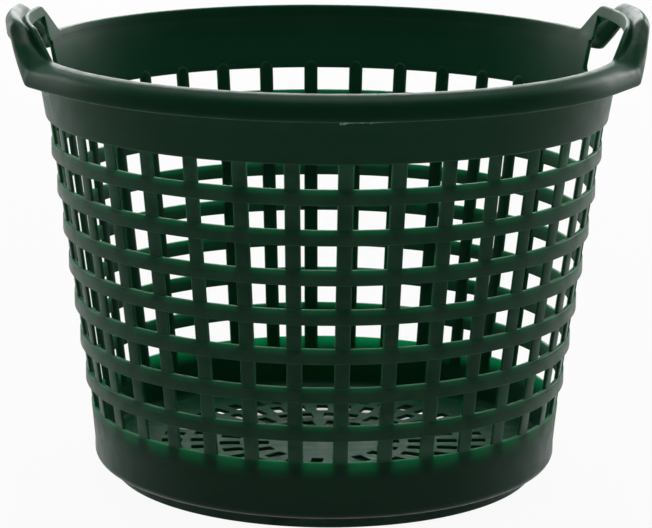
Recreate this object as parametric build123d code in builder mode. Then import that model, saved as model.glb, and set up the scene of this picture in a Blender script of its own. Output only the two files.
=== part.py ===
"""Round garden basket: a tapered lattice of hoops and staves under a rim with two raised grips."""

import math
import os

from build123d import *

# Driving dimensions, in millimetres and degrees

# Walls
wall = 2.5                # thickness of the moulded walls

# Base
base_radius = 159.5       # outside of the base band at its upper edge
base_height = 39.2        # base band, from its underside to its upper edge
base_draft = 2.4          # how far the base band draws in above its corner
base_corner = 12.8        # outside radius of the corner into the underside
base_ledge = 12.0         # flat ledge inside the corner that carries the floor
foot_height = 8.8
foot_width = 4.0
floor_thickness = 2.6
slot_length = 14.0        # floor slots, along a radius
slot_width = 8.0
slot_pitch = 16.0         # spacing of the slots round each ring, about
slot_ring_radius = 45.0   # middle of the innermost ring of slots
slot_ring_pitch = 20.0
slot_ring_count = 4

# Lattice
row_count = 8             # rows of openings
row_pitch = 26.0          # one opening and one hoop
row_step = 3.53           # growth in radius from each hoop to the next one up
hoop_height = 11.0
hoop_edge = 0.8           # rounding of each hoop's upper outer edge
stave_group = 17          # staves in the front half, and as many in the back half
stave_pitch = 10.29       # degrees from each stave of a half to the next
stave_width = 9.8
stave_set_back = 0.5      # outer face of the staves inside the cone round the hoops
stave_rib = 1.3           # how far the staves stand in from the hoops, at their middle
stave_rise = 5.0          # how far the rounded stave tops climb the upper band
stave_fade = 14.0         # length over which the staves run out on the base band

# Upper band and rim
band_height = 40.0
band_flare = 9.4          # degrees from upright
rim_height = 5.0          # inner edge of the rim above the upper band
rim_width = 14.1          # inner edge to outer edge
rim_drop = 3.5            # outer edge below the inner edge
rim_crown = 3.0           # swell of the rim's top
skirt_depth = 9.5         # outer edge down to the lip of the skirt
skirt_flare = 0.9         # how far the skirt leans out
skirt_sag = 2.2           # how much deeper the skirt hangs at the feet of the grips

# Grips
grip_length = 149.0       # between the feet of the two ramps
straight_length = 226.0   # stretch over which the rim's outer edge runs straight past a grip
grip_rise = 22.0          # top of the grip above the rim
grip_lean = 5.2           # how far the lip leans out at full height
grip_spread = 1.9         # how far the outer edge leans out past the ramp's foot
grip_drop = 3.0           # outer edge below the inner edge at full height
crest_height = 1.2        # crest of the grip's top above its nominal height
crest_place = 10.5        # from the inner edge to the crest
ridge_drop = 0.5          # inner edge of the grip's top below its nominal height
ridge_place = 6.0         # from the inner edge to that edge
groove_depth = 6.5        # groove between the lip and the grip's top
groove_place = 2.0        # from the inner edge to the bottom of the groove
groove_start = 4.0        # the same where the groove runs out on the rim
edge_ease = 0.7           # swell of the top from the crest to the outer edge
under_shift = 0.7         # how far the underside's corners lie outside the top's
ramp_length = 19.0        # ramp of the top out of the rim
ramp_rise = 11.0
shoulder_length = 17.6    # shoulder of the top above the ramp
shoulder_rise = 21.3
lip_rise = 20.3           # inner lip above the rim's inner edge
lip_ramp_length = 12.8    # ramp of the lip out of the rim
lip_ramp_rise = 12.6
lip_shoulder_length = 8.8
lip_shoulder_rise = 19.3
grip_skirt = 8.5          # depth of the skirt along the middle of the grip
skirt_ramp = 33.0         # stretch over which the skirt's lower edge climbs
lip_height = 8.4          # inner lip above the hand hole, at its middle
hand_hole_width = 106.0
hand_hole_depth = 21.5    # below the top of the upper band
hand_hole_corner = 5.0
cheek_width = 2.5         # how much the hand hole narrows on each side up to the lip
web_lift = 1.5            # how far the web at each ramp's foot climbs towards the band
grip_facets = 3           # straight runs between the middle of the grip and its shoulder
straight_facets = 4       # sections over the straight stretch of rim

# Levels and radii that follow from them
base_top = foot_height + base_height
lattice_top = base_top + row_count * row_pitch - hoop_height
band_top = lattice_top + band_height
corner_height = foot_height + base_corner
corner_radius = base_radius - base_draft
foot_radius = corner_radius - base_corner
ledge_radius = foot_radius - base_ledge
floor_bottom = foot_height + wall
band_slope = math.tan(math.radians(band_flare))
band_radius = base_radius + row_count * row_step
band_top_radius = band_radius + band_height * band_slope
seat_radius = band_top_radius - wall
rim_radius = seat_radius + rim_height * band_slope
rim_top = band_top + rim_height
rim_edge_radius = rim_radius + rim_width
skirt_radius = rim_edge_radius + skirt_flare
skirt_bottom = rim_top - rim_drop - skirt_depth
lattice_slope = row_step / row_pitch
half_turn = 180.0


def lattice_inner(height):
    """Radius of the cone inside the hoops."""
    return base_radius - wall + (height - base_top) * lattice_slope


def hoop_radius(level):
    """Outside of the hoop at a level, counted up from the base band at level 0."""
    return base_radius + level * row_step


def hoop_top(level):
    """Height of the upper edge of the hoop at a level."""
    return base_top + level * row_pitch


def arc_angle(half_width, radius):
    """Angle from the grip's middle to a point that far off its middle plane."""
    return math.degrees(math.asin(half_width / radius))


def radial_plane(angle):
    """Upright plane through the basket's axis, its x along the radius at an angle from +X."""
    across = math.cos(math.radians(angle))
    along = math.sin(math.radians(angle))
    return Plane((0, 0, 0), x_dir=(across, along, 0), z_dir=(along, -across, 0))


def between(start, end, share):
    """Point a share of the way from start to end."""
    return (start[0] + share * (end[0] - start[0]), start[1] + share * (end[1] - start[1]))


def save(part, name):
    """Label a finished piece and write it."""
    part.label = name
    export_step(part, f"parts/{name}.step")


os.makedirs("parts", exist_ok=True)


# Foot ring that the basket stands on
with BuildPart() as foot_ring:
    with BuildSketch():
        Circle(foot_radius)
        Circle(foot_radius - foot_width, mode=Mode.SUBTRACT)
    extrude(amount=foot_height)
save(foot_ring.part, "foot_ring")


# Base band, rounded in to the ledge under the floor
with BuildPart() as base_band:
    with BuildSketch(Plane.XZ):
        with BuildLine():
            Line((base_radius, base_top), (corner_radius, corner_height))
            CenterArc((foot_radius, corner_height), base_corner, 0, -90)
            Line((foot_radius, foot_height), (ledge_radius, foot_height))
            Line((ledge_radius, foot_height), (ledge_radius, floor_bottom))
            Line((ledge_radius, floor_bottom), (foot_radius, floor_bottom))
            CenterArc((foot_radius, corner_height), base_corner - wall, -90, 90)
            Line((corner_radius - wall, corner_height), (base_radius - wall, base_top))
            Line((base_radius - wall, base_top), (base_radius, base_top))
        make_face()
    revolve(axis=Axis.Z)
save(base_band.part, "base_band")


# Floor on the ledge, with rings of radial slots
with BuildPart() as floor_grille:
    with BuildSketch(Plane.XY.offset(floor_bottom)):
        Circle(foot_radius)
        for ring in range(slot_ring_count):
            ring_radius = slot_ring_radius + ring * slot_ring_pitch
            slot_count = round(2 * math.pi * ring_radius / slot_pitch)
            with PolarLocations(ring_radius, slot_count):
                Rectangle(slot_length, slot_width, mode=Mode.SUBTRACT)
    extrude(amount=floor_thickness)
save(floor_grille.part, "floor_grille")


# Hoops between the rows of openings, hoop_1 at the top, upright outside and coned inside
for level in range(1, row_count):
    upper = hoop_top(level)
    lower = upper - hoop_height
    with BuildPart() as hoop:
        with BuildSketch(Plane.XZ):
            with BuildLine():
                Polyline(
                    (hoop_radius(level), upper),
                    (hoop_radius(level), lower),
                    (lattice_inner(lower), lower),
                    (lattice_inner(upper), upper),
                    close=True,
                )
            make_face()
        revolve(axis=Axis.Z)
        upper_edges = hoop.edges().filter_by(GeomType.CIRCLE).group_by(Axis.Z)[-1]
        fillet(upper_edges.sort_by(SortBy.RADIUS)[-1], radius=hoop_edge)
    save(hoop.part, f"hoop_{row_count - level}")


# Staves: straight strips behind the hoops, nearly flush with their edges in the rows of openings
stave_top = lattice_top + stave_rise
stave_low = base_top - stave_fade
stave_sweep = 2 * math.degrees(math.atan(stave_width / base_radius))
stave_clear = base_radius - wall - stave_rib - stave_width
fade_radius = base_radius - wall - base_draft * stave_fade / (base_top - corner_height)
band_foot = (lattice_inner(lattice_top), lattice_top)
stave_outline = [between(band_foot, (seat_radius, band_top), stave_rise / band_height)]
for level in reversed(range(row_count)):
    upper = hoop_top(level + 1) - hoop_height
    lower = hoop_top(level)
    stave_outline += [
        (lattice_inner(upper), upper),
        (lattice_inner(upper) + wall - stave_set_back, upper),
        (lattice_inner(lower) + wall - stave_set_back, lower),
        (lattice_inner(lower), lower),
    ]
stave_outline += [
    (fade_radius, stave_low),
    (stave_clear, base_top + stave_fade),
    (stave_clear, stave_top),
]

with BuildPart() as stave_form:
    with BuildSketch(radial_plane(-stave_sweep / 2)):
        with BuildLine():
            Polyline(*stave_outline, close=True)
        make_face()
    revolve(axis=Axis.Z, revolution_arc=stave_sweep)
    # Front outline with a half-round top
    with BuildSketch(Plane.YZ):
        with BuildLine():
            Line((-stave_width / 2, stave_top - stave_width / 2), (-stave_width / 2, 0))
            Line((-stave_width / 2, 0), (stave_width / 2, 0))
            Line((stave_width / 2, 0), (stave_width / 2, stave_top - stave_width / 2))
            CenterArc((0, stave_top - stave_width / 2), stave_width / 2, 0, 180)
        make_face()
    extrude(amount=band_top_radius, mode=Mode.INTERSECT)
    # Cross-section along the slope, rounded inside
    with BuildSketch(Plane.XY):
        with BuildLine():
            cone_foot = base_radius - base_top * lattice_slope
            waist = cone_foot - wall
            half_width = stave_width / 2
            ThreePointArc((waist, half_width), (waist - stave_rib, 0), (waist, -half_width))
            Line((waist, -half_width), (cone_foot, -half_width))
            Line((cone_foot, -half_width), (cone_foot, half_width))
            Line((cone_foot, half_width), (waist, half_width))
        make_face()
    extrude(amount=band_top, dir=(lattice_slope, 0, 1), mode=Mode.INTERSECT)

# Two halves with a stave in the middle of each, and a wider opening left under each grip
for index in range(2 * stave_group):
    half, place = divmod(index, stave_group)
    stave_angle = half_turn * (half + 0.5) + (place - (stave_group - 1) / 2) * stave_pitch
    with BuildPart() as stave:
        add(stave_form.part, rotation=(0, 0, stave_angle))
    save(stave.part, f"stave_{index + 1:02d}")


# Upper band with a hand hole under each grip
with BuildPart() as upper_band:
    with BuildSketch(Plane.XZ):
        with BuildLine():
            Polyline(
                (band_radius, lattice_top),
                (band_top_radius, band_top),
                (seat_radius, band_top),
                band_foot,
                close=True,
            )
        make_face()
    revolve(axis=Axis.Z)
    with BuildSketch(Plane.YZ):
        with Locations((0, band_top)):
            RectangleRounded(hand_hole_width, 2 * hand_hole_depth, hand_hole_corner)
    extrude(amount=skirt_radius, both=True, mode=Mode.SUBTRACT)
save(upper_band.part, "upper_band")


def outer_drop(lift):
    """Outer edge below the inner edge, from the plain rim at lift 0 to the full grip at lift 1."""
    return rim_drop + lift * (grip_drop - rim_drop)


def crown_height(place):
    """Height of the plain rim's top over its inner edge, at a distance outwards from it."""
    share = place / rim_width
    return 4 * rim_crown * share * (1 - share) - rim_drop * share


def channel_section(angle, inner_rise, top_rise, leg_bottom, skirt_low, spread):
    """Inverted-U section of rim and grip at an angle, its lip and top raised above the plain rim."""
    lift = top_rise / grip_rise
    inner = (rim_radius + inner_rise / lip_rise * grip_lean, rim_top + inner_rise)
    lean = (inner[0] - seat_radius) / (inner[1] - band_top)
    leg_end = (inner[0] - lean * (inner[1] - leg_bottom), leg_bottom)
    leg_outer = (leg_end[0] + wall, leg_bottom)

    def top_point(start_place, place, height):
        """Corner of the top, between its place on the plain rim and on the full grip."""
        start = (rim_radius + start_place, rim_top + top_rise + crown_height(start_place))
        return between(start, (rim_radius + grip_lean + place, rim_top + top_rise + height), lift)

    lip = (inner[0] + wall, inner[1] + (1 - lift) * crown_height(wall))
    groove = top_point(groove_start, groove_place, -groove_depth)
    ridge = top_point(ridge_place, ridge_place, -ridge_drop)
    crest = top_point(crest_place, crest_place, crest_height)
    outer = (rim_edge_radius + spread + lift * grip_spread, rim_top + top_rise - outer_drop(lift))
    skirt_end = (skirt_radius + spread, skirt_low)
    under_outer = (outer[0] - wall, outer[1] - wall)
    under_crest = (crest[0], crest[1] - wall)
    under_ridge = (ridge[0] + under_shift, ridge[1] - wall)
    under_groove = (groove[0] + under_shift, groove[1] - wall)
    under_leg = (inner[0] - lean * (inner[1] - under_groove[1]) + wall, under_groove[1])
    with BuildSketch(radial_plane(angle)) as section:
        with BuildLine():
            Polyline(leg_end, inner, lip, groove, ridge, crest)
            SagittaArc(crest, outer, edge_ease)
            Polyline(outer, skirt_end, (skirt_end[0] - wall, skirt_end[1]), under_outer, under_crest)
            Polyline(under_crest, under_ridge, under_groove, under_leg, leg_outer, leg_end)
        make_face()
    return section.sketch


# Angles from the middle of a grip at which its section changes, and its height there
grip_half = grip_length / 2
straight_angle = arc_angle(straight_length / 2, skirt_radius)
end_angle = arc_angle(grip_half, skirt_radius)
ramp_angle = arc_angle(grip_half - ramp_length, skirt_radius)
shoulder_angle = arc_angle(grip_half - ramp_length - shoulder_length, skirt_radius)
lip_ramp_angle = arc_angle(grip_half - lip_ramp_length, skirt_radius)
lip_shoulder_angle = arc_angle(grip_half - lip_ramp_length - lip_shoulder_length, skirt_radius)
knee_angle = arc_angle(grip_half - skirt_ramp, skirt_radius)
hole_angle = arc_angle(hand_hole_width / 2, band_top_radius)
cheek_angle = arc_angle(hand_hole_width / 2 - cheek_width, band_top_radius)
knee_low = rim_top + shoulder_rise - grip_drop - grip_skirt
top_profile = [
    (0.0, grip_rise),
    (shoulder_angle, shoulder_rise),
    (ramp_angle, ramp_rise),
    (end_angle, 0.0),
    (straight_angle, 0.0),
]
lip_profile = [
    (0.0, lip_rise),
    (lip_shoulder_angle, lip_shoulder_rise),
    (lip_ramp_angle, lip_ramp_rise),
    (end_angle, 0.0),
    (straight_angle, 0.0),
]
skirt_profile = [
    (0.0, knee_low),
    (knee_angle, knee_low),
    (end_angle, skirt_bottom - skirt_sag),
    (straight_angle, skirt_bottom),
]


def height_at(profile, angle):
    """Height along a profile at an angle from the grip's middle."""
    for start, end in zip(profile, profile[1:]):
        if angle <= end[0]:
            break
    return between(start, end, (angle - start[0]) / (end[0] - start[0]))[1]


def straight_spread(angle):
    """How far the straight run of the outer edge lies outside its circle."""
    off_circle = straight_angle - max(angle, end_angle)
    return rim_edge_radius * (1 / math.cos(math.radians(off_circle)) - 1)


def grip_section(angle):
    """Section of the grip: a short inner lip over the hand hole, a full wall beside it."""
    distance = abs(angle)
    leg_bottom = rim_top + lip_rise - lip_height if distance <= cheek_angle else band_top
    return channel_section(
        angle,
        height_at(lip_profile, distance),
        height_at(top_profile, distance),
        leg_bottom,
        height_at(skirt_profile, distance),
        straight_spread(distance),
    )


# Grips, each one raised stretch of the rim, with a web across its channel at each end
facet_angles = [shoulder_angle * step / grip_facets for step in range(grip_facets + 1)]
straight_step = (straight_angle - end_angle) / straight_facets
straight_angles = [end_angle + straight_step * step for step in range(straight_facets + 1)]
turn_angles = [knee_angle, lip_shoulder_angle, ramp_angle, hole_angle, cheek_angle, lip_ramp_angle]
side_angles = sorted(facet_angles[1:] + turn_angles + straight_angles)
grip_angles = [-angle for angle in reversed(side_angles)] + [0.0] + side_angles
web_inner = band_top_radius - (band_top - skirt_bottom - web_lift) * band_slope
web_outer = skirt_radius + straight_spread(end_angle) - wall / 2
with BuildPart() as right_handle:
    loft([grip_section(angle) for angle in grip_angles], ruled=True)
    for web_angle in (-end_angle, end_angle):
        with BuildSketch(radial_plane(web_angle)):
            with BuildLine():
                Polyline(
                    (web_inner, skirt_bottom + web_lift),
                    (band_top_radius, band_top),
                    (rim_radius + wall / 2, rim_top),
                    (web_outer, rim_top - rim_drop - wall / 2),
                    (web_outer, skirt_bottom),
                    close=True,
                )
            make_face()
        extrude(amount=wall / 2, both=True)
save(right_handle.part, "right_handle")

with BuildPart() as left_handle:
    add(right_handle.part, rotation=(0, 0, half_turn))
save(left_handle.part, "left_handle")


# Rim arcs in front of and behind the grips
rim_sweep = half_turn - 2 * straight_angle
with BuildPart() as back_rim:
    rim_section = channel_section(straight_angle, 0.0, 0.0, band_top, skirt_bottom, 0.0)
    revolve(rim_section, axis=Axis.Z, revolution_arc=rim_sweep)
save(back_rim.part, "back_rim")

with BuildPart() as front_rim:
    add(back_rim.part, rotation=(0, 0, half_turn))
save(front_rim.part, "front_rim")
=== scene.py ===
"""Looks of the garden basket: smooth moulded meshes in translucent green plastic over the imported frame."""

import math

import bmesh
import bpy
from mathutils import Matrix, Vector


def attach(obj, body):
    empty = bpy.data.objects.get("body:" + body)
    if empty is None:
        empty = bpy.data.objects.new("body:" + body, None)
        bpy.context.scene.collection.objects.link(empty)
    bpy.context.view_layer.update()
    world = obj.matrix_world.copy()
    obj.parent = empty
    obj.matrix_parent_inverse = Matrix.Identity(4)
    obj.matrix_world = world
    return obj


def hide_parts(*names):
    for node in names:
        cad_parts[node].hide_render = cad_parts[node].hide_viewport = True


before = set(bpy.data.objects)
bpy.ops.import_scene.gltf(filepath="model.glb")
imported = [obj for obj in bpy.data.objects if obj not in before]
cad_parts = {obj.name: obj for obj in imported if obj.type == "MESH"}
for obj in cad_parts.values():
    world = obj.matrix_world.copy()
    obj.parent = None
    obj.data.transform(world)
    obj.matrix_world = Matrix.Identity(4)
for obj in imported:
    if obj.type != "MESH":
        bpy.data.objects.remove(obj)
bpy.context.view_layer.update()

# Sizes of the basket, in millimetres and degrees, as in the part's source
WALL = 2.5
BASE_RADIUS = 159.5
BASE_HEIGHT = 39.2
BASE_DRAFT = 2.4
BASE_CORNER = 12.8
BASE_LEDGE = 12.0
FOOT_HEIGHT = 8.8
FOOT_WIDTH = 4.0
FLOOR_THICKNESS = 2.6
SLOT_LENGTH = 14.0
SLOT_WIDTH = 8.0
SLOT_PITCH = 16.0
SLOT_RING_RADIUS = 45.0
SLOT_RING_PITCH = 20.0
SLOT_RING_COUNT = 4
ROW_COUNT = 8
ROW_PITCH = 26.0
ROW_STEP = 3.53
HOOP_HEIGHT = 11.0
STAVE_GROUP = 17
STAVE_PITCH = 10.29
STAVE_WIDTH = 9.8
STAVE_SET_BACK = 0.5
STAVE_RIB = 1.3
STAVE_RISE = 5.0
STAVE_FADE = 14.0
BAND_HEIGHT = 40.0
BAND_SLOPE = math.tan(math.radians(9.4))
RIM_HEIGHT = 5.0
RIM_WIDTH = 14.1
RIM_DROP = 3.5
SKIRT_DEPTH = 9.5
SKIRT_FLARE = 0.9
SKIRT_SAG = 2.2
GRIP_HALF = 74.5
STRAIGHT_HALF = 113.0
GRIP_RISE = 22.0
GRIP_LEAN = 5.2
GRIP_SPREAD = 1.9
GRIP_DROP = 3.0
CREST_HEIGHT = 1.2
CREST_PLACE = 10.5
RIDGE_DROP = 0.5
RIDGE_PLACE = 6.0
GROOVE_DEPTH = 6.5
GROOVE_PLACE = 2.0
GROOVE_START = 4.0
EDGE_EASE = 0.7
UNDER_SHIFT = 0.7
RAMP_LENGTH = 19.0
RAMP_RISE = 11.0
SHOULDER_LENGTH = 17.6
SHOULDER_RISE = 21.3
LIP_RISE = 20.3
LIP_RAMP_LENGTH = 12.8
LIP_RAMP_RISE = 12.6
LIP_SHOULDER_LENGTH = 8.8
LIP_SHOULDER_RISE = 19.3
GRIP_SKIRT = 8.5
SKIRT_RAMP = 33.0
LIP_HEIGHT = 8.4
HOLE_HALF = 53.0
HOLE_DEPTH = 21.5
HOLE_CORNER = 5.0
CHEEK_WIDTH = 2.5

# Small departures from the part's source that the photograph shows: hoops with lower upper edges,
# a deeper skirt at the front and back, and higher crests on the grips
HOOP_TRIM = 1.0
SKIRT_EXTRA = 2.4
CREST_EXTRA = 1.2

# The rim's rounded top: where its fall starts, how deep it falls, and a place near its outer edge
RIM_FLAT = 1.5
RIM_ROUND = 9.5
SWELL_PLACE = 12.7

# Levels and radii that follow from them
BASE_TOP = FOOT_HEIGHT + BASE_HEIGHT
LATTICE_TOP = BASE_TOP + ROW_COUNT * ROW_PITCH - HOOP_HEIGHT
BAND_TOP = LATTICE_TOP + BAND_HEIGHT
CORNER_HEIGHT = FOOT_HEIGHT + BASE_CORNER
CORNER_RADIUS = BASE_RADIUS - BASE_DRAFT
FOOT_RADIUS = CORNER_RADIUS - BASE_CORNER
LEDGE_RADIUS = FOOT_RADIUS - BASE_LEDGE
FLOOR_BOTTOM = FOOT_HEIGHT + WALL
BAND_RADIUS = BASE_RADIUS + ROW_COUNT * ROW_STEP
BAND_TOP_RADIUS = BAND_RADIUS + BAND_HEIGHT * BAND_SLOPE
SEAT_RADIUS = BAND_TOP_RADIUS - WALL
RIM_RADIUS = SEAT_RADIUS + RIM_HEIGHT * BAND_SLOPE
RIM_TOP = BAND_TOP + RIM_HEIGHT
RIM_EDGE_RADIUS = RIM_RADIUS + RIM_WIDTH
SKIRT_RADIUS = RIM_EDGE_RADIUS + SKIRT_FLARE
SKIRT_BOTTOM = RIM_TOP - RIM_DROP - SKIRT_DEPTH - SKIRT_EXTRA
LATTICE_SLOPE = ROW_STEP / ROW_PITCH
STAVE_LOW = BASE_TOP - STAVE_FADE
STAVE_TOP = LATTICE_TOP + STAVE_RISE
# Clearance of the row pattern above an upper edge
CLEAR_ABOVE = 3.0

# The grey tops of the grips, partly scuffed and partly a painted sheen, lie above this height and outside
# this radius, and fade in over a short way
SCUFF_SHEEN_HEIGHT = RIM_TOP + RAMP_RISE - 3.0
SCUFF_SHEEN_RADIUS = RIM_RADIUS + GRIP_LEAN + 4.0
SCUFF_SHEEN_FADE = 2

# Levels of seams inside the plastic, each with the reach round it that shows no pale edge mark, which is edge
# wear mixed with a painted highlight
NO_WEAR_OR_HIGHLIGHT = ((BAND_TOP, 2.7), (STAVE_LOW, 8.0))

# Roundings of edges
FOOT_EDGE = 1.0
HIDDEN_EDGE = 0.2
BASE_EDGE = 0.9
BASE_INNER_EDGE = 0.6
BASE_BEND = 1.0
LEDGE_EDGE = 0.5
FLOOR_EDGE = 0.4
SLOT_CORNER = 1.5
HOOP_EDGE = 0.8
HOOP_LOW_EDGE = 0.5
HOOP_INNER_EDGE = 0.6
STAVE_EDGE = 0.9
BAND_EDGE = 0.7
HOLE_EDGE = 0.9
SEAM_EDGE = 0.01

# How far pieces reach into each other inside the plastic
OVERLAP = 0.3
FOOT_SINK = 0.5

# Staves come forward to the lattice's face from a little below the base band's upper edge
# to a little below the upper band
STAVE_START = 0.4
STAVE_END = 0.5
# Shares of the stave's run-out and of its domed top that get a section, and the rib left at the dome's tip
FADE_SHARES = (0.02, 0.25, 0.5, 0.75, 0.93)
DOME_SHARES = (0.15, 0.35, 0.55, 0.72, 0.86, 0.95, 0.99)
DOME_RIB = 0.2

# Extra loop near the upper and lower edges of the band, and the margin that keeps its seam sharp
BAND_LOOP = 2.5
SEAM_MARGIN = 0.1
# Vertices nearer than this are welded after a cut
WELD = 0.01

# How finely round forms are divided
TURN_STEPS = 272
CORNER_STEPS = 3
ROUND_STEPS = 10
HOLE_STEPS = 8
PROFILE_STEPS = 5
PLAIN_STEPS = 100
FINE_STEP = 0.4
# Edges that turn by more than this are shaded sharp
SHARP_ANGLE = math.radians(40)
# Faces more level than this are shaded flat
LEVEL_NORMAL = 0.99

# Divisions of the lower corners of the rim's inner leg, and the point held above them
LEG_STEPS = 2
LEG_HOLD = 0.02

# Flash: its start and sweep round the rim in degrees, the half heights of its tail, end and tears,
# its half depth, and how it sits at the skirt's lower edge
FLASH_START = -91.6
FLASH_SWEEP = 9.0
FLASH_STEPS = 60
FLASH_TAIL = 0.18
FLASH_END = 0.8
FLASH_TEAR = 0.4
FLASH_DEPTH = 0.35
FLASH_INSET = 0.2
FLASH_LIFT = 0.3
FLASH_HANG = 0.7

# Colours
GREEN_DARK = (0.0055, 0.050, 0.023)
GREEN_LIGHT = (0.0075, 0.058, 0.028)
# Pale green of convex edges: partly edge wear, partly a painted highlight along the edges of the holes
RUBBED_AND_HIGHLIT_GREEN = (0.15, 0.31, 0.22)
# Grey of the grips' upward tops: partly scuffing, partly a painted sheen of light falling on them
SCUFF_AND_SHEEN_GREY = (0.115, 0.13, 0.12)
THROUGH_GREEN = (0.08, 0.85, 0.48, 1)
TORN_DARK = (0.10, 0.28, 0.20)
TORN_LIGHT = (0.42, 0.62, 0.54)
STAGE_GREY = (0.4, 0.4, 0.39, 1)
WHITE = (1, 1, 1, 1)

# Ranges of a value, some with what they are mapped to, as (start, end) or (start, end, low, high)
EDGE_POINTINESS = (0.515, 0.58)
EDGE_PATCHES = (0.3, 0.6, 0.35, 1.0)
UPWARD = (0.35, 0.75)
SCUFF_AND_SHEEN_PATCHES = (0.38, 0.6, 0.1, 0.85)
SATIN_ROUGHNESS = (0.3, 0.7, 0.34, 0.48)
TORN_ROUGHNESS = (0.3, 0.7, 0.5, 0.7)
FACING_EDGE = (0.5, 0.9)

# Share of the gloss that is left face on
FACE_GLOSS = 0.4
# Scattering inside the plastic and grain on it, in metres
SCATTER_RADIUS = (0.15, 1.0, 0.55)
SCATTER_SCALE = 0.005
GRAIN_STRENGTH = 0.12
GRAIN_DEPTH = 0.0003

# Noises as (scale, detail)
CLOUD_NOISE = (30, 4)
EDGE_NOISE = (60, 8)
SCUFF_AND_SHEEN_NOISE = (70, 10)
SATIN_NOISE = (90, 5)
GRAIN_NOISE = (700, 2)
FIBRE_NOISE = (500, 3)

# Studio, in metres apart from the radius out to which the floor under the basket loses its white glow and
# shows its grey colour in its real shadow, a disc of painted shade
SHADOW_RADIUS = 105.0
STAGE_RADIUS = 40.0
STAGE_WHITE = 0.94
WORLD_STRENGTH = 0.22
# Lamps as (name, place, target, size, power)
LAMPS = (
    ("top_light", (0.1, 0.4, 2.2), (0, 0, 0.2), 1.6, 18),
    ("back_light", (0.0, 2.6, 1.3), (0, 0, 0.25), 1.8, 42),
    ("left_back_light", (-2.1, 1.7, 1.0), (0, 0, 0.25), 1.4, 36),
    ("right_back_light", (2.1, 1.7, 1.0), (0, 0, 0.25), 1.4, 44),
)

METRES = 0.001
BODY = "root"


# Outlines

def hoop_radius(level):
    """Outside of the hoop at a level, counted up from the base band at level 0."""
    return BASE_RADIUS + level * ROW_STEP


def hoop_top(level):
    """Height of the upper edge of the hoop at a level."""
    return BASE_TOP + level * ROW_PITCH


def corner_arc(before, corner, after, ease, steps):
    """Points of the arc that rounds one corner, starting an ease away from it."""
    back, ahead = before - corner, after - corner
    reach = min(ease, 0.45 * back.length, 0.45 * ahead.length)
    start = corner + back.normalized() * reach
    end = corner + ahead.normalized() * reach
    weight = math.sin(back.angle(ahead) / 2)
    points = []
    for step in range(steps + 1):
        share = step / steps
        near, middle, far = (1 - share) ** 2, 2 * weight * share * (1 - share), share ** 2
        points.append((near * start + middle * corner + far * end) / (near + middle + far))
    return points


def rounded(corners):
    """Closed outline through corners given as (across, up, ease, steps)."""
    points = [Vector(corner[:2]) for corner in corners]
    outline = []
    for index, (_, _, ease, steps) in enumerate(corners):
        after = points[(index + 1) % len(points)]
        outline += corner_arc(points[index - 1], points[index], after, ease, steps)
    return outline


# Mesh helpers, all in millimetres

def join_rings(mesh, rings, looped):
    """Faces between neighbouring rings of vertices, and back to the first ring if looped."""
    following = rings[1:] + rings[:1] if looped else rings[1:]
    for ring, other in zip(rings, following):
        for index in range(len(ring)):
            mesh.faces.new((ring[index - 1], ring[index], other[index], other[index - 1]))


def add_lathe(mesh, outline):
    """Closed outline of (radius, height) points turned about the basket's axis.

    The turn starts half a step round, so that no vertex lies on the plane through the middle staves.
    """
    rings = []
    for step in range(TURN_STEPS):
        turn = Matrix.Rotation(2 * math.pi * (step + 0.5) / TURN_STEPS, 3, "Z")
        rings.append([mesh.verts.new(turn @ Vector((across, 0, up))) for across, up in outline])
    join_rings(mesh, rings, looped=True)


def piece(name, mesh, material, *nodes):
    """Finish a mesh and put it on the basket, in place of its CAD nodes if it has any."""
    bmesh.ops.recalc_face_normals(mesh, faces=mesh.faces)
    bmesh.ops.scale(mesh, vec=(METRES, METRES, METRES), verts=mesh.verts)
    data = bpy.data.meshes.new(name)
    mesh.to_mesh(data)
    mesh.free()
    data.shade_smooth()
    data.set_sharp_from_angle(angle=SHARP_ANGLE)
    data.materials.append(material)
    obj = bpy.data.objects.new(name, data)
    bpy.context.collection.objects.link(obj)
    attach(obj, BODY)
    if nodes:
        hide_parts(*nodes)
    return obj


# Pieces

def build_foot(material):
    """Foot ring with eased edges."""
    inner = FOOT_RADIUS - FOOT_WIDTH
    mesh = bmesh.new()
    add_lathe(mesh, rounded([
        (FOOT_RADIUS, 0, FOOT_EDGE, CORNER_STEPS),
        (FOOT_RADIUS, FOOT_HEIGHT + FOOT_SINK, HIDDEN_EDGE, 1),
        (inner, FOOT_HEIGHT + FOOT_SINK, HIDDEN_EDGE, 1),
        (inner, 0, FOOT_EDGE, CORNER_STEPS),
    ]))
    piece("moulded_foot", mesh, material, "foot_ring")


def build_base(material):
    """Base band, rounded in to the ledge under the floor."""
    mesh = bmesh.new()
    add_lathe(mesh, rounded([
        (BASE_RADIUS, BASE_TOP, BASE_EDGE, CORNER_STEPS),
        (CORNER_RADIUS, CORNER_HEIGHT, BASE_BEND, 1),
        (CORNER_RADIUS, FOOT_HEIGHT, BASE_CORNER, ROUND_STEPS),
        (LEDGE_RADIUS, FOOT_HEIGHT, LEDGE_EDGE, 2),
        (LEDGE_RADIUS, FLOOR_BOTTOM, LEDGE_EDGE, 2),
        (CORNER_RADIUS - WALL, FLOOR_BOTTOM, BASE_CORNER - WALL, ROUND_STEPS),
        (CORNER_RADIUS - WALL, CORNER_HEIGHT, BASE_BEND, 1),
        (BASE_RADIUS - WALL, BASE_TOP, BASE_INNER_EDGE, CORNER_STEPS),
    ]))
    piece("moulded_base", mesh, material, "base_band")


def add_spline(curve, points):
    """Closed run of straight lines on a flat curve."""
    spline = curve.splines.new("POLY")
    spline.points.add(len(points) - 1)
    for place, (across, along) in zip(spline.points, points):
        place.co = (across * METRES, along * METRES, 0, 1)
    spline.use_cyclic_u = True


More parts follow.
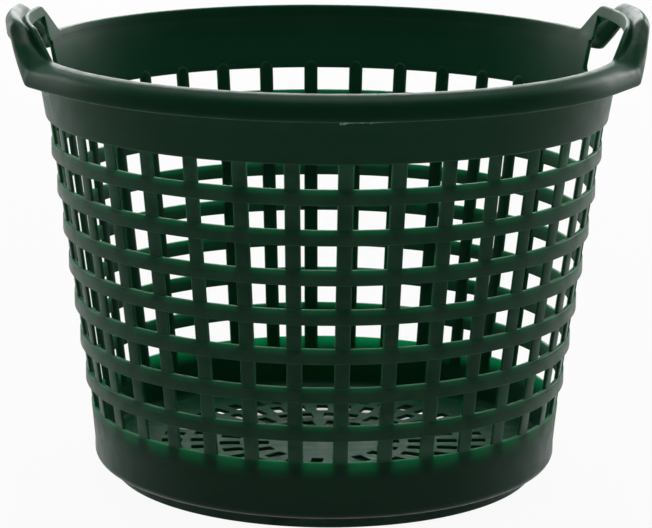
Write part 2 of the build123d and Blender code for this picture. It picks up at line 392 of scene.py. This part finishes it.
def slot_outline(radius, angle):
    """Rounded slot at a radius and angle, its length along the radius."""
    half_length, half_width = SLOT_LENGTH / 2, SLOT_WIDTH / 2
    turn = Matrix.Rotation(angle, 2)
    outline = rounded([
        (radius + half_length, -half_width, SLOT_CORNER, CORNER_STEPS),
        (radius + half_length, half_width, SLOT_CORNER, CORNER_STEPS),
        (radius - half_length, half_width, SLOT_CORNER, CORNER_STEPS),
        (radius - half_length, -half_width, SLOT_CORNER, CORNER_STEPS),
    ])
    return [turn @ point for point in outline]


def build_floor(material):
    """Floor plate with rings of radial slots, its edges eased by the curve's bevel."""
    curve = bpy.data.curves.new("floor_outline", "CURVE")
    curve.dimensions = "2D"
    curve.fill_mode = "BOTH"
    curve.extrude = (FLOOR_THICKNESS / 2 - FLOOR_EDGE) * METRES
    curve.bevel_depth = FLOOR_EDGE * METRES
    curve.bevel_resolution = 2
    curve.offset = -FLOOR_EDGE * METRES
    turns = [2 * math.pi * step / TURN_STEPS for step in range(TURN_STEPS)]
    add_spline(curve, [(FOOT_RADIUS * math.cos(turn), FOOT_RADIUS * math.sin(turn)) for turn in turns])
    for ring in range(SLOT_RING_COUNT):
        radius = SLOT_RING_RADIUS + ring * SLOT_RING_PITCH
        count = round(2 * math.pi * radius / SLOT_PITCH)
        for index in range(count):
            add_spline(curve, slot_outline(radius, 2 * math.pi * index / count))
    holder = bpy.data.objects.new("floor_outline", curve)
    data = bpy.data.meshes.new_from_object(holder)
    mesh = bmesh.new()
    mesh.from_mesh(data)
    bpy.data.objects.remove(holder)
    bpy.data.meshes.remove(data)
    bmesh.ops.remove_doubles(mesh, verts=mesh.verts, dist=1e-6)
    bmesh.ops.scale(mesh, vec=(1 / METRES, 1 / METRES, 1 / METRES), verts=mesh.verts)
    bmesh.ops.translate(mesh, vec=(0, 0, FLOOR_BOTTOM + FLOOR_THICKNESS / 2), verts=mesh.verts)
    plate = piece("moulded_floor", mesh, material, "floor_grille")
    for face in plate.data.polygons:
        face.use_smooth = abs(face.normal.z) < LEVEL_NORMAL


def wall_inner(height):
    """Radius of the inside of the base band, the hoops or the upper band."""
    if height < BASE_TOP:
        return BASE_RADIUS - WALL - (BASE_TOP - height) * BASE_DRAFT / (BASE_TOP - CORNER_HEIGHT)
    lattice = BASE_RADIUS - WALL + (min(height, LATTICE_TOP) - BASE_TOP) * LATTICE_SLOPE
    share = max(0.0, height - LATTICE_TOP) / BAND_HEIGHT
    return lattice + share * (SEAT_RADIUS - lattice)


def build_hoops(material):
    """Hoops between the rows of openings, hoop 1 at the top, upright outside and coned inside."""
    for level in range(1, ROW_COUNT):
        outside, top = hoop_radius(level), hoop_top(level) - HOOP_TRIM
        low = hoop_top(level) - HOOP_HEIGHT
        mesh = bmesh.new()
        add_lathe(mesh, rounded([
            (outside, top, HOOP_EDGE, CORNER_STEPS),
            (outside, low, HOOP_LOW_EDGE, CORNER_STEPS),
            (wall_inner(low) - OVERLAP, low, HOOP_LOW_EDGE, CORNER_STEPS),
            (wall_inner(top) - OVERLAP, top, HOOP_INNER_EDGE, CORNER_STEPS),
        ]))
        number = ROW_COUNT - level
        piece(f"moulded_hoop_{number}", mesh, material, f"hoop_{number}")


def bow(half, rise, steps):
    """Points across a round bow, from one side to the other, as (rise, across)."""
    radius = (half ** 2 + rise ** 2) / (2 * rise)
    sweep = math.asin(min(1.0, half / radius))
    angles = [sweep * (1 - 2 * step / steps) for step in range(steps + 1)]
    return [Vector((rise - radius * (1 - math.cos(angle)), radius * math.sin(angle))) for angle in angles]


def stave_section(inside, face, rib, narrowing):
    """Section of a stave as (radius, across) points: flat face outside, rounded inside."""
    half = narrowing * STAVE_WIDTH / 2
    outer, waist = Vector((inside + face, half)), Vector((inside, half))
    nose = [Vector((inside - point.x, point.y)) for point in bow(half, rib * STAVE_RIB, ROUND_STEPS)]
    side = corner_arc(Vector((outer.x, 0)), outer, waist, STAVE_EDGE, CORNER_STEPS)
    side += corner_arc(outer, waist, nose[1], STAVE_EDGE, CORNER_STEPS)
    other = [Vector((point.x, -point.y)) for point in reversed(side)]
    return side + nose[2:-2] + other


def stave_levels():
    """Heights of a stave's sections, with its share of rib and of width there, from its foot to its top."""
    levels = []
    for share in FADE_SHARES:
        levels.append((STAVE_LOW + share * STAVE_FADE, share, 1.0))
    levels += [(BASE_TOP + row * ROW_PITCH - OVERLAP, 1.0, 1.0) for row in range(ROW_COUNT)]
    levels += [(LATTICE_TOP - STAVE_END, 1.0, 1.0)]
    dome = STAVE_WIDTH / 2
    for share in DOME_SHARES:
        shrink = math.sqrt(1 - share ** 2)
        levels.append((STAVE_TOP - dome + share * dome, DOME_RIB + (1 - DOME_RIB) * shrink, shrink))
    return levels


def build_stave(index, material):
    """One straight stave through the hoops, run out on the base band and domed on the upper band."""
    half, place = divmod(index, STAVE_GROUP)
    angle = 180 * (half + 0.5) + (place - (STAVE_GROUP - 1) / 2) * STAVE_PITCH
    turn = Matrix.Rotation(math.radians(angle), 3, "Z")
    mesh = bmesh.new()
    rings = []
    for height, rib, narrowing in stave_levels():
        in_lattice = BASE_TOP - STAVE_START < height < LATTICE_TOP
        face = WALL - STAVE_SET_BACK if in_lattice else WALL / 2
        section = stave_section(wall_inner(height), face, rib, narrowing)
        rings.append([
            mesh.verts.new(turn @ Vector((math.sqrt(point.x ** 2 - point.y ** 2), point.y, height)))
            for point in section
        ])
    join_rings(mesh, rings, looped=False)
    mesh.faces.new(rings[0])
    mesh.faces.new(rings[-1])
    piece(f"moulded_stave_{index + 1:02d}", mesh, material, f"stave_{index + 1:02d}")


def scratch_object(name, mesh):
    """Unplaced object from a mesh, for a cut."""
    data = bpy.data.meshes.new(name)
    mesh.to_mesh(data)
    mesh.free()
    obj = bpy.data.objects.new(name, data)
    bpy.context.collection.objects.link(obj)
    return obj


def hole_cutter():
    """Bar through both sides of the basket with the outline of the hand holes."""
    low = BAND_TOP - HOLE_DEPTH
    outline = rounded([
        (-HOLE_HALF, BAND_TOP + HOLE_DEPTH, 1.0, 1),
        (-HOLE_HALF, low, HOLE_CORNER, HOLE_STEPS),
        (HOLE_HALF, low, HOLE_CORNER, HOLE_STEPS),
        (HOLE_HALF, BAND_TOP + HOLE_DEPTH, 1.0, 1),
    ])
    mesh = bmesh.new()
    rings = []
    for across in (-SKIRT_RADIUS, SKIRT_RADIUS):
        rings.append([mesh.verts.new((across, along, up)) for along, up in outline])
    join_rings(mesh, rings, looped=False)
    mesh.faces.new(rings[0])
    mesh.faces.new(rings[-1])
    bmesh.ops.recalc_face_normals(mesh, faces=mesh.faces)
    return scratch_object("hole_cutter", mesh)


def build_band(material):
    """Upper band between the lattice and the rim, its hand holes with eased edges."""
    mesh = bmesh.new()
    outside = [Vector((BAND_RADIUS, LATTICE_TOP)), Vector((BAND_TOP_RADIUS, BAND_TOP))]
    inside = [Vector((SEAT_RADIUS, BAND_TOP)), Vector((wall_inner(LATTICE_TOP), LATTICE_TOP))]
    outline = []
    for start, end in (outside, inside):
        share = BAND_LOOP / BAND_HEIGHT
        outline += [start, start.lerp(end, share), end.lerp(start, share), end]
    add_lathe(mesh, outline)
    bmesh.ops.recalc_face_normals(mesh, faces=mesh.faces)
    band, cutter = scratch_object("band_blank", mesh), hole_cutter()
    cut = band.modifiers.new("hand_holes", "BOOLEAN")
    cut.object = cutter
    cut.operation = "DIFFERENCE"
    shape = bpy.data.meshes.new_from_object(band.evaluated_get(bpy.context.evaluated_depsgraph_get()))
    mesh = bmesh.new()
    mesh.from_mesh(shape)
    for obj in (band, cutter):
        bpy.data.objects.remove(obj)
    bmesh.ops.remove_doubles(mesh, verts=mesh.verts, dist=WELD)
    edges = [
        edge for edge in mesh.edges
        if edge.calc_face_angle(0) > SHARP_ANGLE
        and min(vert.co.z for vert in edge.verts) < BAND_TOP - SEAM_MARGIN
    ]
    bmesh.ops.bevel(mesh, geom=edges, offset=BAND_EDGE, segments=CORNER_STEPS, profile=0.5, affect="EDGES")
    piece("moulded_band", mesh, material, "upper_band")


# Rim and grips

def rim_fall(place):
    """Fall of the plain rim's round top below its inner edge, at a distance outwards from it."""
    share = max(0.0, place - RIM_FLAT) / (RIM_WIDTH - RIM_FLAT)
    return RIM_ROUND * (1 - math.sqrt(1 - share ** 2))


def channel_section(inner_rise, top_rise, leg_bottom, skirt_low, spread, leg_ease):
    """Rounded section of rim and grip, its lip and top raised above the plain rim."""
    lift = top_rise / GRIP_RISE
    inner = Vector((RIM_RADIUS + inner_rise / LIP_RISE * GRIP_LEAN, RIM_TOP + inner_rise))
    lean = (inner.x - SEAT_RADIUS) / (inner.y - BAND_TOP)
    leg_end = Vector((inner.x - lean * (inner.y - leg_bottom), leg_bottom))

    def top_point(start_place, place, height):
        """Corner of the top, between its place on the plain rim and on the full grip."""
        start = Vector((RIM_RADIUS + start_place, RIM_TOP + top_rise - rim_fall(start_place)))
        return start.lerp(Vector((RIM_RADIUS + GRIP_LEAN + place, RIM_TOP + top_rise + height)), lift)

    def ease(rim, grip):
        """Rounding of a corner, between the plain rim and the full grip."""
        return rim + lift * (grip - rim)

    lip = Vector((inner.x + WALL, inner.y - (1 - lift) * rim_fall(WALL)))
    groove = top_point(GROOVE_START, GROOVE_PLACE, -GROOVE_DEPTH)
    ridge = top_point(RIDGE_PLACE, RIDGE_PLACE, -RIDGE_DROP)
    crest = top_point(CREST_PLACE, CREST_PLACE, CREST_HEIGHT + CREST_EXTRA)
    drop = ease(RIM_ROUND, GRIP_DROP)
    outer = Vector((RIM_EDGE_RADIUS + spread + lift * GRIP_SPREAD, RIM_TOP + top_rise - drop))
    swell = (crest + outer) / 2 + (outer - crest).orthogonal().normalized() * EDGE_EASE
    plain_swell = Vector((RIM_RADIUS + SWELL_PLACE + spread, RIM_TOP + top_rise - rim_fall(SWELL_PLACE)))
    swell = plain_swell.lerp(swell, lift)
    skirt_end = Vector((SKIRT_RADIUS + spread, skirt_low))
    under_groove = groove + Vector((UNDER_SHIFT, -WALL))
    under_leg = Vector((inner.x - lean * (inner.y - under_groove.y) + WALL, under_groove.y))
    # Corners in order round the section, each with its rounding and divisions
    outline = rounded([
        (*leg_end, leg_ease, LEG_STEPS),
        (*inner, ease(3.0, 1.0), 4),
        (*lip, ease(1.0, 1.0), 3),
        (*groove, ease(2.0, 1.2), 3),
        (*ridge, ease(2.0, 1.6), 3),
        (*crest, ease(2.0, 2.0), 3),
        (*swell, 1.5, 2),
        (*outer, ease(2.2, 1.6), 5),
        (*skirt_end, 0.9, 3),
        (skirt_end.x - WALL, skirt_end.y, 0.7, 2),
        (outer.x - WALL, outer.y - WALL, 1.5, 2),
        (crest.x, crest.y - WALL, 1.5, 2),
        (ridge.x + UNDER_SHIFT, ridge.y - WALL, 1.5, 2),
        (*under_groove, 1.0, 2),
        (*under_leg, 1.0, 2),
        (leg_end.x + WALL, leg_end.y, leg_ease, LEG_STEPS),
    ])
    # A point close above the leg's lower corner keeps the inner face's shading flat down to the band
    outline.insert(LEG_STEPS + 1, leg_end + (inner - leg_end).normalized() * (leg_ease + LEG_HOLD))
    return outline


def grip_angle(half_width, radius):
    """Angle from the grip's middle to a point that far off its middle plane, in degrees."""
    return math.degrees(math.asin(half_width / radius))


STRAIGHT_ANGLE = grip_angle(STRAIGHT_HALF, SKIRT_RADIUS)
END_ANGLE = grip_angle(GRIP_HALF, SKIRT_RADIUS)
RAMP_ANGLE = grip_angle(GRIP_HALF - RAMP_LENGTH, SKIRT_RADIUS)
SHOULDER_ANGLE = grip_angle(GRIP_HALF - RAMP_LENGTH - SHOULDER_LENGTH, SKIRT_RADIUS)
LIP_RAMP_ANGLE = grip_angle(GRIP_HALF - LIP_RAMP_LENGTH, SKIRT_RADIUS)
LIP_SHOULDER_ANGLE = grip_angle(GRIP_HALF - LIP_RAMP_LENGTH - LIP_SHOULDER_LENGTH, SKIRT_RADIUS)
KNEE_ANGLE = grip_angle(GRIP_HALF - SKIRT_RAMP, SKIRT_RADIUS)
HOLE_ANGLE = grip_angle(HOLE_HALF, BAND_TOP_RADIUS)
CHEEK_ANGLE = grip_angle(HOLE_HALF - CHEEK_WIDTH, BAND_TOP_RADIUS)
KNEE_LOW = RIM_TOP + SHOULDER_RISE - GRIP_DROP - GRIP_SKIRT
# Runs from a grip's middle outwards, as (angle, height, rounding of the corner there)
TOP_PROFILE = [
    (0.0, GRIP_RISE, 0.0),
    (SHOULDER_ANGLE, SHOULDER_RISE, 1.6),
    (RAMP_ANGLE, RAMP_RISE, 0.4),
    (END_ANGLE, 0.0, 1.8),
]
LIP_PROFILE = [
    (0.0, LIP_RISE, 0.0),
    (LIP_SHOULDER_ANGLE, LIP_SHOULDER_RISE, 1.4),
    (LIP_RAMP_ANGLE, LIP_RAMP_RISE, 1.4),
    (END_ANGLE, 0.0, 1.4),
]
SKIRT_PROFILE = [
    (0.0, KNEE_LOW, 0.0),
    (KNEE_ANGLE, KNEE_LOW, 1.5),
    (END_ANGLE, SKIRT_BOTTOM + SKIRT_EXTRA - SKIRT_SAG, 1.5),
    (STRAIGHT_ANGLE, SKIRT_BOTTOM, 1.5),
]


def smooth_profile(profile):
    """Run of (angle, height) points with its corners rounded, level past its last point."""
    points = [Vector((angle, height)) for angle, height, _ in profile]
    points.append(points[-1] + Vector((STRAIGHT_ANGLE, 0)))
    run = [points[0]]
    for index in range(1, len(profile)):
        ease = profile[index][2]
        run += corner_arc(points[index - 1], points[index], points[index + 1], ease, PROFILE_STEPS)
    run.append(points[-1])
    return run


def height_at(run, angle):
    """Height along a run of points at an angle from the grip's middle."""
    for start, end in zip(run, run[1:]):
        if angle <= end.x:
            return start.lerp(end, (angle - start.x) / max(end.x - start.x, 1e-6)).y
    return run[-1].y


def straight_spread(angle):
    """How far the straight run of the outer edge past a grip lies outside its circle."""
    off_circle = STRAIGHT_ANGLE - min(max(angle, END_ANGLE), STRAIGHT_ANGLE)
    return RIM_EDGE_RADIUS * (1 / math.cos(math.radians(off_circle)) - 1)


def build_rim(material):
    """Rim and both grips as one continuous channel."""
    top_run = smooth_profile(TOP_PROFILE)
    lip_run = smooth_profile(LIP_PROFILE)
    skirt_run = smooth_profile(SKIRT_PROFILE)
    steps = round(STRAIGHT_ANGLE / FINE_STEP)
    distances = sorted([step * FINE_STEP for step in range(steps)] + [HOLE_ANGLE, CHEEK_ANGLE])
    plain = (180 - 2 * steps * FINE_STEP) / PLAIN_STEPS
    angles = [-distance for distance in reversed(distances[1:])] + distances
    angles += [steps * FINE_STEP + step * plain for step in range(PLAIN_STEPS + 1)]
    mesh = bmesh.new()
    rings = []
    for middle in (0, 180):
        for angle in angles:
            distance = min(abs(angle), 180 - abs(angle))
            on_hole = abs(angle) <= CHEEK_ANGLE
            section = channel_section(
                height_at(lip_run, distance),
                height_at(top_run, distance),
                RIM_TOP + LIP_RISE - LIP_HEIGHT if on_hole else BAND_TOP,
                height_at(skirt_run, distance),
                straight_spread(distance),
                HOLE_EDGE if abs(angle) <= HOLE_ANGLE else SEAM_EDGE,
            )
            turn = Matrix.Rotation(math.radians(middle + angle), 3, "Z")
            rings.append([mesh.verts.new(turn @ Vector((across, 0, up))) for across, up in section])
    join_rings(mesh, rings, looped=True)
    piece("moulded_rim", mesh, material, "front_rim", "back_rim", "left_handle", "right_handle")


def flash_width(share):
    """Half height of the flash at a share of its length: a thick end, then a few tears and a thin tail."""
    end = FLASH_END * (1 - share) ** 12
    tears = FLASH_TEAR * abs(math.sin(19 * share) * math.sin(7 * share + 1)) ** 3
    return (FLASH_TAIL + end + tears) * min(1.0, 4 * (1 - share))


def build_flash(material):
    """Thin torn flash left by the mould at the lower edge of the front rim."""
    start, sweep = math.radians(FLASH_START), math.radians(FLASH_SWEEP)
    mesh = bmesh.new()
    rings = []
    for step in range(FLASH_STEPS + 1):
        share = step / FLASH_STEPS
        width = flash_width(share)
        turn = Matrix.Rotation(start + share * sweep, 3, "Z")
        low = SKIRT_BOTTOM + FLASH_LIFT - FLASH_HANG * width
        middle = Vector((SKIRT_RADIUS - FLASH_INSET, 0, low))
        corners = ((FLASH_DEPTH, 0), (0, width), (-FLASH_DEPTH, 0), (0, -width))
        rings.append([mesh.verts.new(turn @ (middle + Vector((out, 0, up)))) for out, up in corners])
    join_rings(mesh, rings, looped=False)
    mesh.faces.new(rings[0])
    mesh.faces.new(rings[-1])
    piece("moulding_flash", mesh, material)


# Materials

def add_noise(nodes, links, place, scale, detail):
    """Noise texture over the basket, as a value from 0 to 1."""
    noise = nodes.new("ShaderNodeTexNoise")
    noise.inputs["Scale"].default_value = scale
    noise.inputs["Detail"].default_value = detail
    links.new(place, noise.inputs["Vector"])
    return noise.outputs["Fac"]


def add_ramp(nodes, links, value, low, high, dark, light):
    """Colour ramp from dark at low to light at high."""
    ramp = nodes.new("ShaderNodeValToRGB")
    ends = ramp.color_ramp.elements
    ends[0].position, ends[1].position = low, high
    ends[0].color, ends[1].color = (*dark, 1), (*light, 1)
    links.new(value, ramp.inputs["Fac"])
    return ramp.outputs["Color"]


def add_product(nodes, links, first, second):
    """Product of two values."""
    product = nodes.new("ShaderNodeMath")
    product.operation = "MULTIPLY"
    links.new(first, product.inputs[0])
    links.new(second, product.inputs[1])
    return product.outputs[0]


def add_mix(nodes, links, share, colour, other):
    """Colour turned by a share towards another, plain one."""
    mix = nodes.new("ShaderNodeMix")
    mix.data_type = "RGBA"
    mix.inputs["B"].default_value = (*other, 1)
    links.new(share, mix.inputs["Factor"])
    links.new(colour, mix.inputs["A"])
    return mix.outputs["Result"]


def add_range(nodes, links, value, start, end, low, high):
    """Value mapped from start..end to low..high."""
    spread = nodes.new("ShaderNodeMapRange")
    for socket, number in zip(("From Min", "From Max", "To Min", "To Max"), (start, end, low, high)):
        spread.inputs[socket].default_value = number
    links.new(value, spread.inputs["Value"])
    return spread.outputs["Result"]


def add_radius(nodes, links, place):
    """Distance from the basket's axis."""
    flat = nodes.new("ShaderNodeVectorMath")
    flat.operation = "MULTIPLY"
    flat.inputs[1].default_value = (1, 1, 0)
    links.new(place, flat.inputs[0])
    length = nodes.new("ShaderNodeVectorMath")
    length.operation = "LENGTH"
    links.new(flat.outputs["Vector"], length.inputs[0])
    return length.outputs["Value"]


def add_away(nodes, links, height, level, reach):
    """1 at heights further than a reach from a level, 0 nearer to it."""
    near = nodes.new("ShaderNodeMath")
    near.operation = "COMPARE"
    near.inputs[1].default_value = level * METRES
    near.inputs[2].default_value = reach * METRES
    links.new(height, near.inputs[0])
    return add_range(nodes, links, near.outputs[0], 0.0, 1.0, 1.0, 0.0)


def add_tint(nodes, links, place):
    """Green of the plastic, uneven over the basket, paler on convex edges where wear and a painted highlight
    are mixed in, and grey on the upward tops of the grips where scuffs and a painted sheen are mixed in.
    """
    cloud = add_noise(nodes, links, place, *CLOUD_NOISE)
    tint = add_ramp(nodes, links, cloud, 0.2, 0.8, GREEN_DARK, GREEN_LIGHT)
    geometry = nodes.new("ShaderNodeNewGeometry")
    # Convex edges turn pale: partly edge wear, partly a painted highlight standing in for light caught along
    # the hole edges
    edge = add_range(nodes, links, geometry.outputs["Pointiness"], *EDGE_POINTINESS, 0.0, 1.0)
    edge_patch = add_range(nodes, links, add_noise(nodes, links, place, *EDGE_NOISE), *EDGE_PATCHES)
    height = nodes.new("ShaderNodeSeparateXYZ")
    links.new(place, height.inputs["Vector"])
    for level, reach in NO_WEAR_OR_HIGHLIGHT:
        edge_patch = add_product(nodes, links, edge_patch, add_away(nodes, links, height.outputs["Z"], level, reach))
    worn_and_highlit = add_mix(nodes, links, add_product(nodes, links, edge, edge_patch), tint, RUBBED_AND_HIGHLIT_GREEN)

    # Upward faces of the grips' tops turn grey: partly scuffs, partly a painted sheen where light falls on
    # them
    start, end = SCUFF_SHEEN_HEIGHT * METRES, (SCUFF_SHEEN_HEIGHT + SCUFF_SHEEN_FADE) * METRES
    on_grip = add_range(nodes, links, height.outputs["Z"], start, end, 0.0, 1.0)
    start, end = SCUFF_SHEEN_RADIUS * METRES, (SCUFF_SHEEN_RADIUS + SCUFF_SHEEN_FADE) * METRES
    outside = add_range(nodes, links, add_radius(nodes, links, place), start, end, 0.0, 1.0)
    upright = nodes.new("ShaderNodeSeparateXYZ")
    links.new(geometry.outputs["Normal"], upright.inputs["Vector"])
    upward = add_range(nodes, links, upright.outputs["Z"], *UPWARD, 0.0, 1.0)
    scuff_and_sheen = add_range(nodes, links, add_noise(nodes, links, place, *SCUFF_AND_SHEEN_NOISE), *SCUFF_AND_SHEEN_PATCHES)
    on_top = add_product(nodes, links, add_product(nodes, links, on_grip, upward), scuff_and_sheen)
    on_top = add_product(nodes, links, on_top, outside)
    return add_mix(nodes, links, on_top, worn_and_highlit, SCUFF_AND_SHEEN_GREY)


def add_clear(nodes, links, place, low, high, reach, pitch):
    """Share of light let through, rising from low to high over a reach below edges a pitch apart."""
    height = nodes.new("ShaderNodeSeparateXYZ")
    links.new(place, height.inputs["Vector"])
    wrap = nodes.new("ShaderNodeMath")
    wrap.operation = "WRAP"
    links.new(height.outputs["Z"], wrap.inputs[0])
    wrap.inputs[1].default_value = (BASE_TOP + CLEAR_ABOVE) * METRES
    wrap.inputs[2].default_value = (BASE_TOP + CLEAR_ABOVE - pitch) * METRES
    return add_range(nodes, links, wrap.outputs[0], (BASE_TOP - reach) * METRES, BASE_TOP * METRES, low, high)


def plastic(name, low, high, reach, pitch, gloss=0.2):
    """Green polyethylene with a satin face that lets more light through near its thin upper edges."""
    material = bpy.data.materials.new(name)
    material.use_nodes = True
    nodes, links = material.node_tree.nodes, material.node_tree.links
    shader = nodes["Principled BSDF"]
    place = nodes.new("ShaderNodeTexCoord").outputs["Object"]
    links.new(add_tint(nodes, links, place), shader.inputs["Base Color"])
    satin = add_noise(nodes, links, place, *SATIN_NOISE)
    links.new(add_range(nodes, links, satin, *SATIN_ROUGHNESS), shader.inputs["Roughness"])
    shader.inputs["Subsurface Weight"].default_value = 1.0
    shader.inputs["Subsurface Radius"].default_value = SCATTER_RADIUS
    shader.inputs["Subsurface Scale"].default_value = SCATTER_SCALE
    facing = nodes.new("ShaderNodeLayerWeight").outputs["Facing"]
    shine = add_range(nodes, links, facing, *FACING_EDGE, FACE_GLOSS * gloss, gloss)
    links.new(shine, shader.inputs["Specular IOR Level"])

    grain = nodes.new("ShaderNodeBump")
    grain.inputs["Strength"].default_value = GRAIN_STRENGTH
    grain.inputs["Distance"].default_value = GRAIN_DEPTH
    links.new(add_noise(nodes, links, place, *GRAIN_NOISE), grain.inputs["Height"])
    links.new(grain.outputs["Normal"], shader.inputs["Normal"])

    through = nodes.new("ShaderNodeBsdfTranslucent")
    through.inputs["Color"].default_value = THROUGH_GREEN
    mix = nodes.new("ShaderNodeMixShader")
    links.new(add_clear(nodes, links, place, low, high, reach, pitch), mix.inputs["Fac"])
    links.new(shader.outputs["BSDF"], mix.inputs[1])
    links.new(through.outputs["BSDF"], mix.inputs[2])
    links.new(mix.outputs["Shader"], nodes["Material Output"].inputs["Surface"])
    return material


def torn_plastic():
    """Pale, rough plastic of a torn edge."""
    material = bpy.data.materials.new("torn_plastic")
    material.use_nodes = True
    nodes, links = material.node_tree.nodes, material.node_tree.links
    shader = nodes["Principled BSDF"]
    place = nodes.new("ShaderNodeTexCoord").outputs["Object"]
    fibre = add_noise(nodes, links, place, *FIBRE_NOISE)
    tint = add_ramp(nodes, links, fibre, 0.35, 0.65, TORN_DARK, TORN_LIGHT)
    links.new(tint, shader.inputs["Base Color"])
    links.new(add_range(nodes, links, fibre, *TORN_ROUGHNESS), shader.inputs["Roughness"])
    return material


# Studio

def build_floor_stage():
    """Pale floor that stays white to the camera and keeps a soft shadow, with a darker disc of painted shade
    under the basket where its white glow is taken away.
    """
    mesh = bmesh.new()
    bmesh.ops.create_circle(mesh, cap_ends=True, segments=96, radius=STAGE_RADIUS)
    data = bpy.data.meshes.new("studio_floor")
    mesh.to_mesh(data)
    mesh.free()
    material = bpy.data.materials.new("studio_floor")
    material.use_nodes = True
    nodes, links = material.node_tree.nodes, material.node_tree.links
    shader = nodes["Principled BSDF"]
    shader.inputs["Base Color"].default_value = STAGE_GREY
    shader.inputs["Roughness"].default_value = 0.9
    shader.inputs["Specular IOR Level"].default_value = 0.0
    path = nodes.new("ShaderNodeLightPath")
    sees = path.outputs["Is Camera Ray"]
    for ray in ("Is Glossy Ray", "Is Transmission Ray"):
        either = nodes.new("ShaderNodeMath")
        either.operation = "MAXIMUM"
        links.new(sees, either.inputs[0])
        links.new(path.outputs[ray], either.inputs[1])
        sees = either.outputs[0]
    glow = nodes.new("ShaderNodeEmission")
    glow.inputs["Strength"].default_value = 1.0
    mix = nodes.new("ShaderNodeMixShader")
    place = nodes.new("ShaderNodeTexCoord").outputs["Object"]
    # Under the basket the white glow fades out, leaving the grey floor in its real shadow as a disc of
    # painted shade
    shadow = (SHADOW_RADIUS * METRES, FOOT_RADIUS * METRES)
    white = add_range(nodes, links, add_radius(nodes, links, place), *shadow, 0.0, STAGE_WHITE)
    links.new(add_product(nodes, links, sees, white), mix.inputs["Fac"])
    links.new(shader.outputs["BSDF"], mix.inputs[1])
    links.new(glow.outputs["Emission"], mix.inputs[2])
    links.new(mix.outputs["Shader"], nodes["Material Output"].inputs["Surface"])
    data.materials.append(material)
    obj = bpy.data.objects.new("studio_floor", data)
    bpy.context.collection.objects.link(obj)


def build_world():
    """White surroundings."""
    world = bpy.data.worlds.new("studio")
    bpy.context.scene.world = world
    world.use_nodes = True
    background = world.node_tree.nodes["Background"]
    background.inputs["Color"].default_value = WHITE
    background.inputs["Strength"].default_value = WORLD_STRENGTH


def add_softbox(name, place, target, size, power):
    """Square area lamp aimed at a point."""
    lamp = bpy.data.lights.new(name, "AREA")
    lamp.size = size
    lamp.energy = power
    obj = bpy.data.objects.new(name, lamp)
    obj.location = place
    obj.rotation_euler = (Vector(target) - Vector(place)).to_track_quat("-Z", "Y").to_euler()
    bpy.context.collection.objects.link(obj)


def build_camera():
    """Camera at the photograph's viewing angle, for a 652 by 528 frame."""
    width, centre = 652, 325.6
    focal, distance = 2783.8, 1.891
    aim = Vector((0, 0, 0.13979))
    azimuth, tilt, roll = math.radians(-3.75), 0.2304, math.radians(0.5)
    ahead = Vector((-math.sin(azimuth) * math.cos(tilt), math.cos(azimuth) * math.cos(tilt), -math.sin(tilt)))
    camera = bpy.data.cameras.new("photo_camera")
    camera.sensor_width = 36
    camera.lens = focal / width * camera.sensor_width
    camera.shift_x = -(centre - width / 2) / width
    obj = bpy.data.objects.new("photo_camera", camera)
    obj.location = aim - distance * ahead
    turn = ahead.to_track_quat("-Z", "Y") @ Matrix.Rotation(roll, 3, "Z").to_quaternion()
    obj.rotation_euler = turn.to_euler()
    bpy.context.collection.objects.link(obj)
    bpy.context.scene.camera = obj


thick = plastic("green_plastic_thick", low=0.05, high=0.05, reach=1.0, pitch=ROW_PITCH, gloss=0.15)
under = plastic("green_plastic_floor", low=0.03, high=0.03, reach=1.0, pitch=ROW_PITCH, gloss=0.08)
band = plastic("green_plastic_band", low=0.08, high=0.08, reach=1.0, pitch=ROW_PITCH, gloss=0.22)
thin = plastic("green_plastic_hoop", low=0.08, high=0.45, reach=5.0, pitch=ROW_PITCH)
base = plastic("green_plastic_base", low=0.03, high=0.42, reach=13.0, pitch=2 * BASE_TOP)
build_foot(thick)
build_base(base)
build_floor(under)
build_hoops(thin)
for stave_index in range(2 * STAVE_GROUP):
    build_stave(stave_index, thick)
build_band(band)
build_rim(band)
build_flash(torn_plastic())

build_floor_stage()
build_world()
for lamp_values in LAMPS:
    add_softbox(*lamp_values)
build_camera()
bpy.context.scene.view_settings.view_transform = "Standard"
